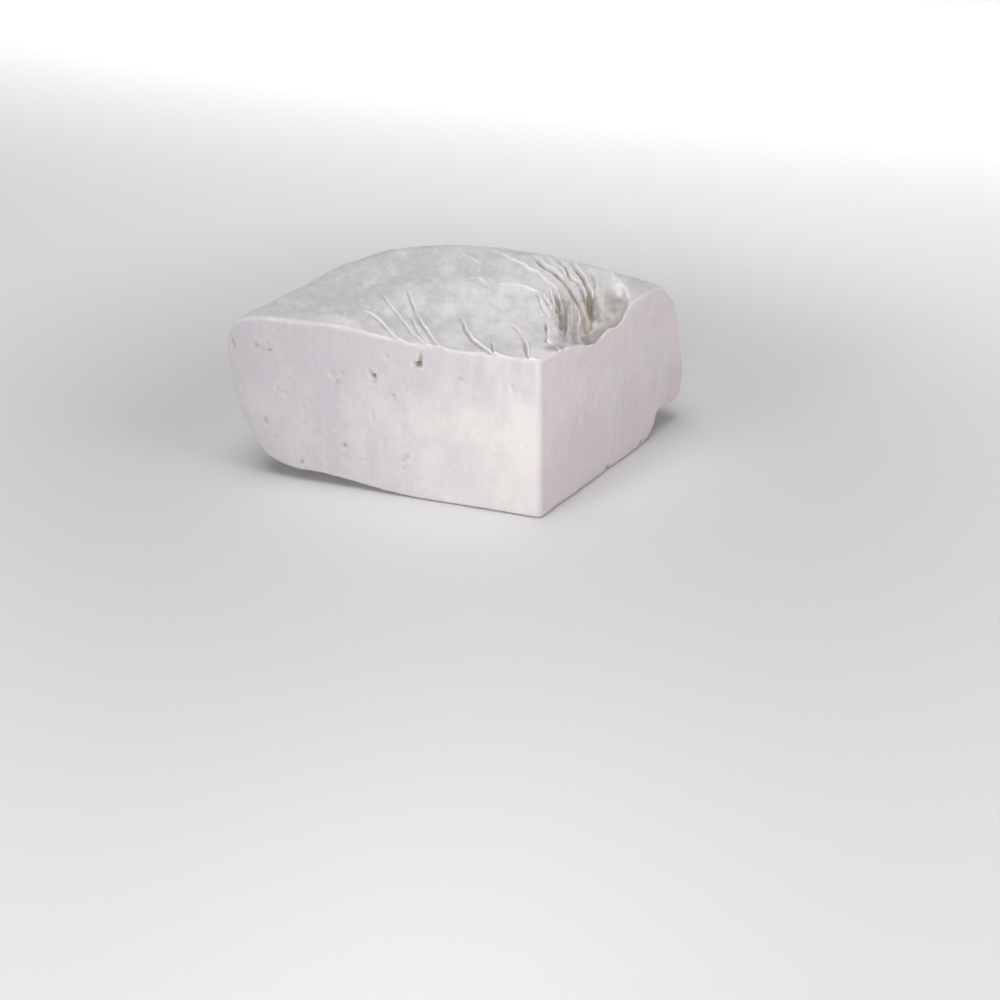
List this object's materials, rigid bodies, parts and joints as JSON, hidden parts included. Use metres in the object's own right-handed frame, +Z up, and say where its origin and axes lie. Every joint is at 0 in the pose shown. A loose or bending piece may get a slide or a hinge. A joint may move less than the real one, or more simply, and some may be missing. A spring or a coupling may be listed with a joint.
{
  "type": "white brined cheese",
  "caption": "Thick wedge of soft white brined cheese with flat cut faces, a cloth-creased top rind and a rounded rim.",
  "frame": {"origin": "middle of the box's underside, on the surface that the cheese rests on", "axes": "+Z up; the long cut face looks towards -Y and runs along X; the short cut face is at the +X end"},
  "size_m": [0.1724, 0.1308, 0.0744],
  "materials": {
    "curd": "soft white curd, faintly moist"
  },
  "bodies": {
    "root": {"cheese": "curd"}
  },
  "joints": []
}
